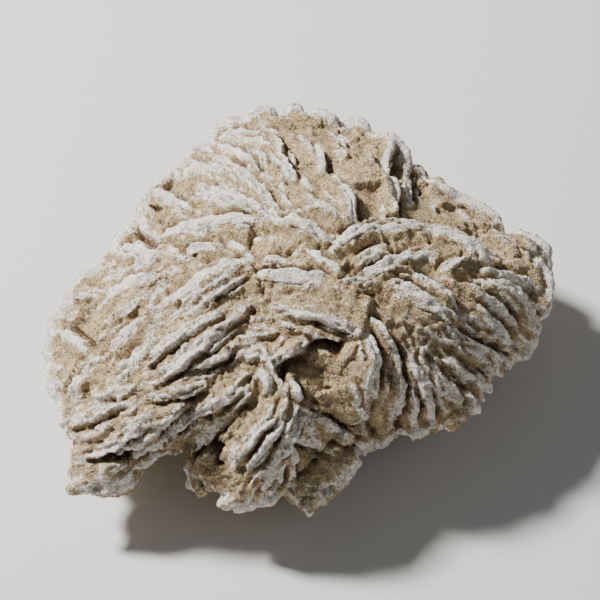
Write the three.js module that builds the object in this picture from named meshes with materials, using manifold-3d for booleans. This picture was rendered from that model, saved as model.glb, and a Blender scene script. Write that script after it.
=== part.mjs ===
// A gypsum sand rose: lens-shaped crystal blades grown together in a flattened mass of cemented sand.
// Millimetres, +Z up. It rests on the broken flat of its underside, at z = 0, centred on x = y = 0. The
// blades are one intergrown crystal mass, so the rose is one solid.
import * as THREE from "three";
import { mergeVertices } from "three/addons/utils/BufferGeometryUtils.js";
import Module from "manifold-3d";

// The rosette opens towards its face, which leans forward from the vertical. The blades are set out on that
// face: u runs to the right, v up the face and w out of it.
const FACE_LEAN = THREE.MathUtils.degToRad(35);
const FACE_DEPTH = 24.2; // from the mid plane to the crown of the sandy mass, along w
const FACE_SHEAR = -0.48; // the mass lies level, so its mid plane slopes across the leaning face
const FLOOR = -18.5; // height of the broken flat below the middle of the mass

const BLADE_SIDES = 12;
const BLADE_DEPTH = 9.5; // the furthest that a blade's middle lies behind its rim
const SWELL_SHARE = 0.4; // the same for a blade in the thin of the mass, as a share of the mass's swell there
const EDGE_DEPTH = 5; // the same for the blades on the edge of the face
const EDGE_SPREAD = 3; // and no more than this many times what such a blade stands out
const END_LIFT = 0.4; // how far a rim's ends stand up, as a share of its height
const MOST_LEAN = 0.93; // sine of the most that a blade leans over
const BACK_LEAN = 0.6; // tangent of the most that a blade of the hidden side leans
const DOME = 0.0036; // how far the mass rounds off under a blade, over the square of its length
const RIM_SHARE = 0.4; // half the flat of a rim, as a share of the blade's thickness
const ROOT_SWELL = 1.3; // how much further each face stands out at a blade's middle than half that thickness
const SMOOTHING = 0.2; // faces that lie this close to one surface are merged
const GROUND = { width: 200, depth: 40 }; // what is cut away under the flat
const SAND = new THREE.MeshStandardMaterial({ color: 0xd3c3a8, roughness: 0.95, metalness: 0 });

// The sandy mass in the plane of the face, counter-clockwise: [u, v].
const MASS_OUTLINE = [
  [47.5, 4], [44, 10], [31, 17.5], [22, 23], [14, 31.5], [4, 35], [-8, 35.5], [-16, 31.5], [-22, 25.5],
  [-28, 18.5], [-34, 10], [-42, 2], [-46, -6], [-47, -15], [-43, -24], [-37, -30], [-28, -28], [-21, -28],
  [-14, -35], [-2, -34.5], [6, -26], [15, -25], [26, -22.5], [34, -15.5], [40, -11], [44.5, -5],
];

// Pockets between the blades: [u, v, half width, half height, depth below the mass].
const POCKETS = [
  [4, -12.5, 8.5, 8, 6],
  [36, 13, 4.5, 2.5, 3.5],
  [-16, -29, 6, 2.5, 6],
];

// Each blade shows as the rim of its disc: [from u, from v, to u, to v, bow, height, thickness]. The rim
// bows to the left of its run, and the blade leans the way that it bows.
const UPPER_FAN = [
  [-20, 29, -4, 17, 1.8, 3.2, 1.8],
  [-16.5, 31.4, -9.5, 33.4, 1.4, 3, 1.8],
  [-26.5, 24, -13, 25, 1.6, 3, 2.2],
  [-18, 31, -7.5, 24, 1.4, 3, 1.7],
  [-21, 22.3, -4, 15.5, 0.6, 3, 1.9],
  [-7, 16.3, 8.5, 10.8, 0.6, 3, 1.7],
  [-31, 21.8, -22, 17.2, 0.6, 3, 2.2],
  [-32, 19, -27.5, 12, -1.6, 2.6, 1.8],
  [-38, 8.5, -30, 8.5, 2, 2.5, 1.8],
  [-28.5, 12, -6, 15.6, 0.8, 2.8, 1.8],
  [-12.5, 32, -4.5, 30.5, 0.6, 2.4, 1.6],
  [-5, 34, -4.5, 28, 0.5, 2.6, 1.8],
  [-5, 29, -0.8, 23.5, 0.5, 2.4, 1.3],
  [2, 31.5, 4.5, 24.5, 0.6, 2.4, 1.6],
  [5.8, 24.3, 10, 14.8, 1.2, 3.2, 1.7],
  [13.5, 28.5, 18, 16.8, 1.8, 3.4, 1.9],
  [18.5, 33.5, 16.5, 26, 0.6, 3.2, 1.9],
  [20.5, 26.5, 21, 20, 0.8, 2.2, 1.8],
];
const CROWN = [
  [6.5, 9.8, 15, 14.2, 0.8, 3.4, 2],
  [12.5, 14, 27, 13.2, 0.4, 3, 2.6],
  [24, 14.2, 38.5, 6.3, 0.9, 3, 2.6],
  [10.5, 3, 23.8, 9.4, 0.4, 3.2, 1.9],
  [10, 6.8, 17, 10, 0.3, 2, 1.4],
  [0.2, 10, 8, 3.6, 0.3, 2.8, 1.6],
  [-9.5, 3.9, 6.8, 3.1, 0.6, 3, 1.7],
  [-4.5, 0, 12.5, -6.4, -0.8, 3.6, 2.6],
  [27, 5.3, 31.5, 7.6, 0.2, 2.2, 1.4],
];
const LEFT_FAN = [
  [-46.2, 0, -38.4, 1.4, -0.4, 2.4, 1.8],
  [-47.8, -6.4, -40.5, -10.8, 0.4, 2.4, 2.2],
  [-43.5, -19.5, -41, -14, 0.6, 2, 1.8],
  [-33, 5, -27, 10, 0.3, 2.4, 1.6],
  [-27, 9.6, -19.5, 5.6, 0.4, 2.2, 1.6],
  [-38.7, 0, -25, 4.6, 0.6, 3.2, 2.1],
  [-35.3, -3.7, -30, 0.4, -0.2, 2.4, 1.7],
  [-25, -0.2, -8, 7.9, 0.3, 3.2, 2.3],
  [-24, -3.6, -9, 5.8, -0.3, 2.8, 1.7],
  [-31, -13, -13.5, -0.8, -0.6, 3.4, 2.4],
  [-28.8, -16.8, -11, -1.8, -0.6, 3, 2],
  [-22.5, -12.2, -12, -4, -0.6, 3, 1.9],
  [-21, -12.8, -12.5, -8.2, -0.8, 3.2, 2],
  [-34.8, -14.5, -28.5, -7.8, 0.2, 2.4, 1.5],
  [-36, -11, -31.5, -4.6, 0.5, 2, 1.5],
];
const LOWER_COMB = [
  [-46.5, -24.6, -31.5, -18.4, -0.6, 3, 2.4],
  [-44.3, -27.4, -30, -20, -0.8, 3.2, 2.2],
  [-42.8, -31, -25.5, -20, -0.8, 3.2, 2],
  [-36, -29, -22.5, -19.6, -0.8, 3, 1.7],
  [-35.3, -30.5, -20.5, -21.5, -1, 3.4, 1.7],
  [-35, -33, -25, -27.8, -1, 3.2, 1.9],
  [-45, -37.3, -35.5, -32.3, -0.4, 2.8, 2.4],
  [-40.3, -37.6, -31.5, -35, -0.6, 2.4, 2],
  [-30, -18.7, -17, -16, -0.3, 2.6, 1.6],
  [-22, -28, -12.5, -20.5, -0.8, 3.4, 2.2],
  [-19.5, -21.5, -9.5, -15.5, -0.3, 2.6, 1.6],
  [-12.5, -30, -4.5, -20.8, -0.4, 2.8, 1.8],
  [-11, -32.5, -2.5, -20.5, -0.6, 3, 1.8],
  [-15.5, -40, -3.5, -29.5, -1.4, 3, 2.6],
  [-5, -31, -0.5, -22.5, -1, 3, 2.2],
  [-21.5, -31, -18.5, -38, -0.6, 2.5, 2.4],
  [-2.5, -34, -1, -27.5, -0.3, 2.5, 1.5],
  [-0.6, -40, 6.3, -28.5, -0.9, 3, 2.2],
  [3, -39, 11.5, -31, -0.6, 1.5, 2],
  [-13, -40.5, -7, -38, -1, 1.8, 2.2],
];
const POCKET_RIM = [
  [11.6, -5.6, 12, -20.4, 2.2, 4, 1.9],
  [15.6, -6, 16.3, -26.4, 3, 3.6, 2.1],
  [20, -14.6, 21.3, -26.4, 1.2, 3.2, 1.6],
  [-3.8, -20, 10.5, -26.8, 0.2, 3.4, 3],
  [-2, -25.5, 8, -28.8, -0.4, 1.6, 2.2],
  [9.5, -27.3, 18, -27.2, -0.6, 2.4, 1.8],
  [2.6, -6.4, -6, -12.8, 0.4, 1.8, 2.2],
  [1, -5, 6.8, -7.3, -0.6, 1.6, 1.8],
  [-11, -10, -6.5, -10.8, -0.3, 1.8, 1.5],
  [-7.6, -12.8, -5.4, -17.8, 0.3, 1.6, 1.3],
  [-1.4, -14.5, -0.8, -20.5, 0.2, 1.8, 1.4],
];
const RIGHT_FAN = [
  [40, 12.6, 49, 7.8, 1.6, 2.4, 2.2],
  [15.8, 3.7, 30.6, -4.8, 0.4, 3.2, 2.2],
  [20.5, 4.6, 30.8, -4.6, 2.2, 2.8, 1.9],
  [32, 2.6, 42.8, -7.4, 0.7, 3, 1.8],
  [33, -1.2, 42.2, -12.4, 1.2, 2.4, 1.6],
  [24.3, -5.2, 40.3, -14.4, 0.9, 3.4, 2.6],
  [27, -11, 37.8, -17.8, 0.6, 2.8, 2.1],
  [26, -13.8, 34.3, -19.8, 0.6, 2.6, 2],
  [36, 3, 46.5, -8.4, 3.2, 2.4, 2.4],
  [22.3, -13.4, 31.2, -24.6, 2.6, 2.4, 2.4],
  [22.6, -16.5, 25, -26.2, 1.6, 2.4, 1.9],
  [37, 5.5, 47.5, 1.5, 1, 2.4, 2.4],
];
const FACE_BLADES = [...UPPER_FAN, ...CROWN, ...LEFT_FAN, ...LOWER_COMB, ...POCKET_RIM, ...RIGHT_FAN];

// The blades that make the outline stand out from the edge of the face: [from u, from v, to u, to v, bow,
// level over the mid plane, thickness].
const EDGE_BLADES = [
  [-24.6, 27.3, -18.4, 32.2, 1.4, 2, 2.6],
  [-19, 32.6, -10.5, 37.4, 1.8, 1, 3],
  [-11.4, 37, -3.8, 37.8, 2.4, 2, 2.6],
  [-3.8, 37.6, 1.8, 38.6, 2.2, 0, 2.6],
  [1, 38.6, 8.9, 35.8, 1.2, 3, 3],
  [8.5, 35.4, 15.2, 35.2, 1.8, 1, 2.6],
  [15.2, 34.4, 22.8, 28.3, 1.4, 4, 2.2],
  [21.6, 27.3, 26.4, 24.3, 0.9, 1, 2.6],
  [26, 24.3, 31.8, 20.4, 0.8, 2, 2.4],
  [31.4, 20.2, 41.4, 15.2, 1.6, 1, 2.8],
  [41.5, 13.6, 50.8, 7.6, 2.4, 2, 2.8],
  [46, 8, 50.6, 1, 1.8, 5, 2.8],
  [49.4, 2.6, 47.8, -4.4, 1.2, 0, 2.6],
  [47.4, -3.5, 42.8, -12.6, 1.4, 1, 2.8],
  [-46.4, 1, -36, 6.2, 1.8, 3, 2.8],
  [-46.4, 1.6, -45.2, -2.2, -0.6, 1, 2.4],
  [-38, 10.6, -32, 16.6, 0.8, 3, 2.6],
  [-33, 15.4, -30.4, 21.4, 0.6, 3, 2.6],
  [-30.4, 21, -24.4, 27.9, 0.8, 1, 2.8],
  [-49.8, -5, -44.8, -0.8, 1.2, 3, 2.8],
  [-50.4, -13.5, -48.2, -5, 0.9, 2, 2.8],
  [-47.6, -20.4, -50, -12.5, 0.8, 1, 2.8],
  [-46.2, -25.9, -46.6, -18.5, 0.8, 1, 2.6],
  [-43.8, -35.8, -43.8, -28.5, 0.8, 0, 2.6],
  [-36.8, -35.4, -43.8, -35.2, 0.8, 1, 2.4],
  [-31.4, -32.9, -38.6, -35.8, 0.9, 3, 2.4],
  [-3.4, -38.2, -15.4, -37.8, 1.6, 2, 2.8],
  [4.4, -35.6, -3.4, -37.8, 1.2, 1, 2.8],
  [11.2, -30.1, 3.4, -36.2, 0.9, 1, 2.6],
  [19.6, -26.7, 9.6, -27.3, 0.8, 3, 2.6],
  [31, -19.4, 19.6, -26.5, 1.4, 3, 2.8],
  [38.2, -15.6, 30.6, -20.6, 0.8, 3, 2.6],
];

// The hidden side has the same kind of blades in rings round the mass. Level is w as a share of the depth,
// and the length, the height and the thickness are in millimetres.
const BACK_RINGS = [
  { level: -0.12, count: 15, length: 13, height: 3.2, thickness: 2.2 },
  { level: -0.42, count: 14, length: 15, height: 3.4, thickness: 2 },
  { level: -0.72, count: 10, length: 15, height: 3, thickness: 2 },
];

const wasm = await Module();
wasm.setup();

// Chance, the same at every run.
THREE.MathUtils.seededRandom(11);
function between(low, high) {
  return THREE.MathUtils.lerp(low, high, THREE.MathUtils.seededRandom());
}

// Turns face coordinates into the part's own, level with the floor.
const faceToPart = new THREE.Matrix4().makeRotationX(FACE_LEAN);

// A three.js geometry as a manifold-3d solid.
function solidOf(geometry) {
  const bare = geometry.clone();
  bare.deleteAttribute("normal");
  bare.deleteAttribute("uv");
  const merged = mergeVertices(bare, 1e-4);
  const corners = merged.index.array;
  const kept = [];
  for (let i = 0; i < corners.length; i += 3) {
    const [a, b, c] = corners.subarray(i, i + 3);
    if (a !== b && b !== c && c !== a) kept.push(a, b, c);
  }
  return new wasm.Manifold(
    new wasm.Mesh({
      numProp: 3,
      vertProperties: new Float32Array(merged.attributes.position.array),
      triVerts: new Uint32Array(kept),
    }),
  );
}

// A manifold-3d solid as a three.js geometry.
function geometryOf(solid) {
  const mesh = solid.getMesh();
  const geometry = new THREE.BufferGeometry();
  geometry.setAttribute("position", new THREE.BufferAttribute(mesh.vertProperties, 3));
  geometry.setIndex(new THREE.BufferAttribute(mesh.triVerts, 1));
  geometry.computeVertexNormals();
  return geometry;
}

// The outline in polar form, in order of angle.
const OUTLINE = MASS_OUTLINE.map(([u, v]) => ({ angle: Math.atan2(v, u), reach: Math.hypot(u, v) }));
OUTLINE.sort((a, b) => a.angle - b.angle);

// How far the mass reaches from the middle of the face, at an angle round it.
function reachAt(angle) {
  const turn = 2 * Math.PI;
  const next = Math.max(0, OUTLINE.findIndex((corner) => corner.angle > angle));
  const before = OUTLINE.at(next - 1);
  const span = THREE.MathUtils.euclideanModulo(OUTLINE[next].angle - before.angle, turn);
  const share = THREE.MathUtils.euclideanModulo(angle - before.angle, turn) / span;
  return THREE.MathUtils.lerp(before.reach, OUTLINE[next].reach, THREE.MathUtils.smoothstep(share, 0, 1));
}

// A point of the mass where its unit sphere has the point (x, y, z), with the way out of the mass there.
function massAt(x, y, z) {
  const reach = reachAt(Math.atan2(y, x));
  const point = new THREE.Vector3(x * reach, y * reach, z * FACE_DEPTH + FACE_SHEAR * y * reach);
  const out = new THREE.Vector3(x / reach, y / reach - (z * FACE_SHEAR) / FACE_DEPTH, z / FACE_DEPTH);
  return { point, out: out.normalize() };
}

// How far the mass comes out over its mid plane, at a point of the face.
function swellAt(u, v) {
  const share = Math.min(Math.hypot(u, v) / reachAt(Math.atan2(v, u)), 1);
  return FACE_DEPTH * Math.sqrt(1 - share * share);
}

// A point over the face, by its height over the mass.
function faceAt(u, v, height) {
  return new THREE.Vector3(u, v, swellAt(u, v) + FACE_SHEAR * v + height);
}

// How far the crest of a rim stands over the line between its ends.
function dropOf(length, height) {
  return (1 - END_LIFT) * height + length * length * DOME;
}

// One blade: a lens whose rim passes through two points and stands over the line between them by its drop.
// Rise is the way that it stands, and depth is how far its middle lies behind the crest.
function blade(from, to, rise, drop, depth, thickness) {
  const along = to.clone().sub(from);
  const length = along.length();
  along.normalize();
  const up = rise.clone().addScaledVector(along, -rise.dot(along)).normalize();
  const reach = length / 2 / Math.sqrt(1 - ((depth - drop) / depth) ** 2);
  const root = thickness / 2 + ROOT_SWELL;
  const rim = thickness * RIM_SHARE;
  const profile = [[0, -root], [1, -rim], [1, rim], [0, root]];
  const lens = new THREE.LatheGeometry(profile.map(([x, y]) => new THREE.Vector2(x, y)), BLADE_SIDES);
  lens.scale(reach, 1, depth);
  const centre = from.clone().lerp(to, 0.5).addScaledVector(up, drop - depth);
  lens.applyMatrix4(new THREE.Matrix4().makeBasis(along, up.clone().cross(along), up).setPosition(centre));
  return lens.applyMatrix4(faceToPart);
}

// A blade whose rim is given on the face.
function faceBlade([fromU, fromV, toU, toV, bow, height, thickness]) {
  const length = Math.hypot(toU - fromU, toV - fromV);
  const drop = Math.max(dropOf(length, height), Math.abs(bow) / MOST_LEAN);
  const deepest = SWELL_SHARE * swellAt((fromU + toU) / 2, (fromV + toV) / 2);
  const depth = Math.max(drop, Math.min(BLADE_DEPTH, deepest));
  const left = new THREE.Vector3(fromV - toV, toU - fromU, 0).normalize();
  const lean = bow / drop;
  const rise = left.multiplyScalar(lean).setZ(Math.sqrt(1 - lean * lean));
  return blade(
    faceAt(fromU, fromV, END_LIFT * height),
    faceAt(toU, toV, END_LIFT * height),
    rise,
    drop,
    depth,
    thickness,
  );
}

// A blade on the edge of the face, which stands straight out from the mass at a level over its mid plane.
function edgeBlade([fromU, fromV, toU, toV, bow, level, thickness]) {
  const from = new THREE.Vector3(fromU, fromV, level + FACE_SHEAR * fromV);
  const to = new THREE.Vector3(toU, toV, level + FACE_SHEAR * toV);
  const rise = new THREE.Vector3(fromV - toV, toU - fromU, 0).multiplyScalar(Math.sign(bow));
  const drop = Math.abs(bow);
  return blade(from, to, rise, drop, Math.min(EDGE_DEPTH, EDGE_SPREAD * drop), thickness);
}

// The blades of one ring on the hidden side, each set a little differently from the one before.
function backRing({ level, count, length, height, thickness }) {
  const flat = Math.sqrt(1 - level * level);
  return Array.from({ length: count }, (_, i) => {
    const angle = (2 * Math.PI * (i + between(-0.3, 0.3))) / count;
    const { point, out } = massAt(flat * Math.cos(angle), flat * Math.sin(angle), level);
    const round = new THREE.Vector3(-Math.sin(angle), Math.cos(angle), 0);
    const turned = round.applyAxisAngle(out, between(0.2, 1.6));
    const run = turned.addScaledVector(out, -turned.dot(out)).normalize();
    const half = (length / 2) * between(0.75, 1.25);
    const drop = dropOf(2 * half, height);
    const middle = point.addScaledVector(out, height - drop);
    const rise = out.clone().addScaledVector(out.clone().cross(run), between(-BACK_LEAN, BACK_LEAN));
    const from = middle.clone().addScaledVector(run, -half);
    return blade(from, middle.addScaledVector(run, half), rise, drop, BLADE_DEPTH, thickness);
  });
}

// The cemented sand that the blades stand in, with the pockets sunk into it.
function sandyMass() {
  const mass = new THREE.IcosahedronGeometry(1, 5);
  const places = mass.attributes.position;
  for (let i = 0; i < places.count; i++) {
    const { point } = massAt(places.getX(i), places.getY(i), places.getZ(i));
    places.setXYZ(i, point.x, point.y, point.z);
  }
  const pockets = POCKETS.map(([u, v, halfWidth, halfHeight, depth]) => {
    const hollow = new THREE.IcosahedronGeometry(1, 2).scale(halfWidth, halfHeight, depth);
    const { x, y, z } = faceAt(u, v, 0);
    return solidOf(hollow.translate(x, y, z).applyMatrix4(faceToPart));
  });
  return solidOf(mass.applyMatrix4(faceToPart)).subtract(wasm.Manifold.union(pockets));
}

// The largest body of a solid. The union leaves the spaces that blades close off inside it as bodies of
// their own.
function largestOf(solid) {
  return solid.decompose().sort((a, b) => b.volume() - a.volume())[0];
}

function sandRose() {
  const face = [...FACE_BLADES.map(faceBlade), ...EDGE_BLADES.map(edgeBlade)];
  const blades = [...face, ...BACK_RINGS.flatMap(backRing)].map(solidOf);
  const grown = largestOf(wasm.Manifold.union([sandyMass(), ...blades]));
  const ground = new THREE.BoxGeometry(GROUND.width, GROUND.width, GROUND.depth);
  ground.translate(0, 0, FLOOR - GROUND.depth / 2);
  const rested = largestOf(grown.asOriginal().simplify(SMOOTHING).subtract(solidOf(ground)));
  const seated = geometryOf(rested);
  seated.computeBoundingBox();
  const middle = seated.boundingBox.getCenter(new THREE.Vector3());
  return seated.translate(-middle.x, -middle.y, -FLOOR);
}

const rose = new THREE.Group();
const body = new THREE.Mesh(sandRose(), SAND);
body.name = "sand_rose";
rose.add(body);

export default rose;
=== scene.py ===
"""A gypsum sand rose: chalky crystal blades grown together in a mass of cemented sand."""
import itertools
import math
import time

import bmesh
import bpy
import numpy as np
from mathutils import Matrix, Vector, noise
from mathutils.bvhtree import BVHTree
from mathutils.kdtree import KDTree


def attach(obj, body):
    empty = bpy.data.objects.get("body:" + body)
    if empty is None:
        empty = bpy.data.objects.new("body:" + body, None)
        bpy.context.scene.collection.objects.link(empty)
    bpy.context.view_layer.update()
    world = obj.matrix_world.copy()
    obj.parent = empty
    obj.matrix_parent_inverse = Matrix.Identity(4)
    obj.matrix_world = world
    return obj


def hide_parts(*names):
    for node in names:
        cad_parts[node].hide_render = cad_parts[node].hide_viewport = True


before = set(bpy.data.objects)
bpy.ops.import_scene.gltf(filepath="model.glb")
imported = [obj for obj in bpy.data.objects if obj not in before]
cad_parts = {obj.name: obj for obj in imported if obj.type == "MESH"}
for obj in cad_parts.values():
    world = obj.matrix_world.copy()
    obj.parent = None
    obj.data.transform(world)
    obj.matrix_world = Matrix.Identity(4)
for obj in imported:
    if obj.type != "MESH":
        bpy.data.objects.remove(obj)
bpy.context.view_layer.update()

MM = 0.001
chance = np.random.default_rng(41)

# The rosette's face leans forward. Places on it are in millimetres: u to the right, v up the face, w out of it.
LEAN = math.radians(35)
FACE_CENTRE = Vector((-0.19, 0.86, 18.5)) * MM
RIGHT = Vector((1, 0, 0))
UPWARD = Vector((0, math.cos(LEAN), math.sin(LEAN)))
OUT = Vector((0, -math.sin(LEAN), math.cos(LEAN)))

VOXEL = 0.36 * MM
FINE_TRIES = 3000
MID_SLOPE = -0.48  # how the mid plane of the rose slopes across its face
MOST_TRIANGLES = 196000

# The main blades' rims: (from u, from v, to u, to v, bow, height, thickness). A rim bows to the left of its run, and
# the blade leans the way that it bows.
MAIN_BLADES = [
    # The upper fan.
    (-20, 29, -4, 17, 1.8, 3.2, 1.8),
    (-16.5, 31.4, -9.5, 33.4, 1.4, 3, 1.8),
    (-26.5, 24, -13, 25, 1.6, 3, 2.2),
    (-18, 31, -7.5, 24, 1.4, 3, 1.7),
    (-21, 22.3, -4, 15.5, 0.6, 3, 1.9),
    (-7, 16.3, 8.5, 10.8, 0.6, 3, 1.7),
    (-31, 21.8, -22, 17.2, 0.6, 3, 2.2),
    (-32, 19, -27.5, 12, -1.6, 2.6, 1.8),
    (-38, 8.5, -30, 8.5, 2, 2.5, 1.8),
    (-28.5, 12, -6, 15.6, 0.8, 2.8, 1.8),
    (-12.5, 32, -4.5, 30.5, 0.6, 2.4, 1.6),
    (-5, 34, -4.5, 28, 0.5, 2.6, 1.8),
    (-5, 29, -0.8, 23.5, 0.5, 2.4, 1.3),
    (2, 31.5, 4.5, 24.5, 0.6, 2.4, 1.6),
    (5.8, 24.3, 10, 14.8, 1.2, 3.2, 1.7),
    (13.5, 28.5, 18, 16.8, 1.8, 3.4, 1.9),
    (18.5, 33.5, 16.5, 26, 0.6, 3.2, 1.9),
    (20.5, 26.5, 21, 20, 0.8, 2.2, 1.8),
    # The crown.
    (6.5, 9.8, 15, 14.2, 0.8, 3.4, 2),
    (12.5, 14, 27, 13.2, 0.4, 3, 2.6),
    (24, 14.2, 38.5, 6.3, 0.9, 3, 2.6),
    (10.5, 3, 23.8, 9.4, 0.4, 3.2, 1.9),
    (10, 6.8, 17, 10, 0.3, 2, 1.4),
    (0.2, 10, 8, 3.6, 0.3, 2.8, 1.6),
    (-9.5, 3.9, 6.8, 3.1, 0.6, 3, 1.7),
    (-4.5, 0, 12.5, -6.4, -0.8, 3.6, 2.6),
    (27, 5.3, 31.5, 7.6, 0.2, 2.2, 1.4),
    # The left fan.
    (-46.2, 0, -38.4, 1.4, -0.4, 2.4, 1.8),
    (-47.8, -6.4, -40.5, -10.8, 0.4, 2.4, 2.2),
    (-43.5, -19.5, -41, -14, 0.6, 2, 1.8),
    (-33, 5, -27, 10, 0.3, 2.4, 1.6),
    (-27, 9.6, -19.5, 5.6, 0.4, 2.2, 1.6),
    (-38.7, 0, -25, 4.6, 0.6, 3.2, 2.1),
    (-35.3, -3.7, -30, 0.4, -0.2, 2.4, 1.7),
    (-25, -0.2, -8, 7.9, 0.3, 3.2, 2.3),
    (-24, -3.6, -9, 5.8, -0.3, 2.8, 1.7),
    (-31, -13, -13.5, -0.8, -0.6, 3.4, 2.4),
    (-28.8, -16.8, -11, -1.8, -0.6, 3, 2),
    (-22.5, -12.2, -12, -4, -0.6, 3, 1.9),
    (-21, -12.8, -12.5, -8.2, -0.8, 3.2, 2),
    (-34.8, -14.5, -28.5, -7.8, 0.2, 2.4, 1.5),
    (-36, -11, -31.5, -4.6, 0.5, 2, 1.5),
    # The lower comb.
    (-46.5, -24.6, -31.5, -18.4, -0.6, 3, 2.4),
    (-44.3, -27.4, -30, -20, -0.8, 3.2, 2.2),
    (-42.8, -31, -25.5, -20, -0.8, 3.2, 2),
    (-36, -29, -22.5, -19.6, -0.8, 3, 1.7),
    (-35.3, -30.5, -20.5, -21.5, -1, 3.4, 1.7),
    (-35, -33, -25, -27.8, -1, 3.2, 1.9),
    (-45, -37.3, -35.5, -32.3, -0.4, 2.8, 2.4),
    (-40.3, -37.6, -31.5, -35, -0.6, 2.4, 2),
    (-30, -18.7, -17, -16, -0.3, 2.6, 1.6),
    (-22, -28, -12.5, -20.5, -0.8, 3.4, 2.2),
    (-19.5, -21.5, -9.5, -15.5, -0.3, 2.6, 1.6),
    (-12.5, -30, -4.5, -20.8, -0.4, 2.8, 1.8),
    (-11, -32.5, -2.5, -20.5, -0.6, 3, 1.8),
    (-15.5, -40, -3.5, -29.5, -1.4, 3, 2.6),
    (-5, -31, -0.5, -22.5, -1, 3, 2.2),
    (-21.5, -31, -18.5, -38, -0.6, 2.5, 2.4),
    (-2.5, -34, -1, -27.5, -0.3, 2.5, 1.5),
    (-0.6, -40, 6.3, -28.5, -0.9, 3, 2.2),
    (3, -39, 11.5, -31, -0.6, 1.5, 2),
    (-13, -40.5, -7, -38, -1, 1.8, 2.2),
    # Round the pocket.
    (11.6, -5.6, 12, -20.4, 2.2, 4, 1.9),
    (15.6, -6, 16.3, -26.4, 3, 3.6, 2.1),
    (20, -14.6, 21.3, -26.4, 1.2, 3.2, 1.6),
    (-3.8, -20, 10.5, -26.8, 0.2, 3.4, 3),
    (-2, -25.5, 8, -28.8, -0.4, 1.6, 2.2),
    (9.5, -27.3, 18, -27.2, -0.6, 2.4, 1.8),
    (2.6, -6.4, -6, -12.8, 0.4, 1.8, 2.2),
    (1, -5, 6.8, -7.3, -0.6, 1.6, 1.8),
    (-11, -10, -6.5, -10.8, -0.3, 1.8, 1.5),
    (-7.6, -12.8, -5.4, -17.8, 0.3, 1.6, 1.3),
    (-1.4, -14.5, -0.8, -20.5, 0.2, 1.8, 1.4),
    # The right fan.
    (40, 12.6, 49, 7.8, 1.6, 2.4, 2.2),
    (15.8, 3.7, 30.6, -4.8, 0.4, 3.2, 2.2),
    (20.5, 4.6, 30.8, -4.6, 2.2, 2.8, 1.9),
    (32, 2.6, 42.8, -7.4, 0.7, 3, 1.8),
    (33, -1.2, 42.2, -12.4, 1.2, 2.4, 1.6),
    (24.3, -5.2, 40.3, -14.4, 0.9, 3.4, 2.6),
    (27, -11, 37.8, -17.8, 0.6, 2.8, 2.1),
    (26, -13.8, 34.3, -19.8, 0.6, 2.6, 2),
    (36, 3, 46.5, -8.4, 3.2, 2.4, 2.4),
    (22.3, -13.4, 31.2, -24.6, 2.6, 2.4, 2.4),
    (22.6, -16.5, 25, -26.2, 1.6, 2.4, 1.9),
    (37, 5.5, 47.5, 1.5, 1, 2.4, 2.4),
]

# Fine blades between the main ones, given the same way.
FINE_BLADES = [
    (-20.5, 21, -12, 18.5, 0.4, 1.8, 1.5),
    (-23, 8.3, -15, 10.3, 0.3, 1.8, 1.4),
    (-19, 11, -14.5, 13.2, 0.2, 1.4, 1.3),
    (-14, 11, -9.5, 8, 0.2, 1.6, 1.3),
    (-25.5, 11.5, -20, 11, 0.3, 1.4, 1.8),
    (-28.5, 0, -25.5, 3, 0.2, 1.5, 1.3),
    (-8, 7.7, -1, 6.6, 0.3, 1.6, 1.4),
    (-22, -3, -15.5, 0.3, -0.3, 1.8, 1.4),
    (-34, -16.5, -31.5, -12, 0.3, 1.6, 1.3),
    (-38.5, -18.5, -31, -16.8, -0.4, 2.2, 1.5),
    (-24, -16.3, -16.5, -14, -0.3, 1.8, 1.4),
    (-27, -24, -22, -20, -0.3, 1.8, 1.4),
    (-26, -29, -23, -27.5, -0.2, 1.6, 1.4),
    (-15, -20, -12, -17.5, -0.2, 1.6, 1.3),
    (-13.5, -20.5, -9, -16.5, -0.2, 1.8, 1.3),
    (3, 18.5, 7, 17, 0.3, 1.4, 1.3),
    (-8, 29, -7, 26, 0.2, 1.4, 1.3),
    (-4, -4.5, 0, -5, 0.2, 1.3, 1.3),
    (-6, -13, -5, -15, 0.2, 1.2, 1.2),
]


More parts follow.
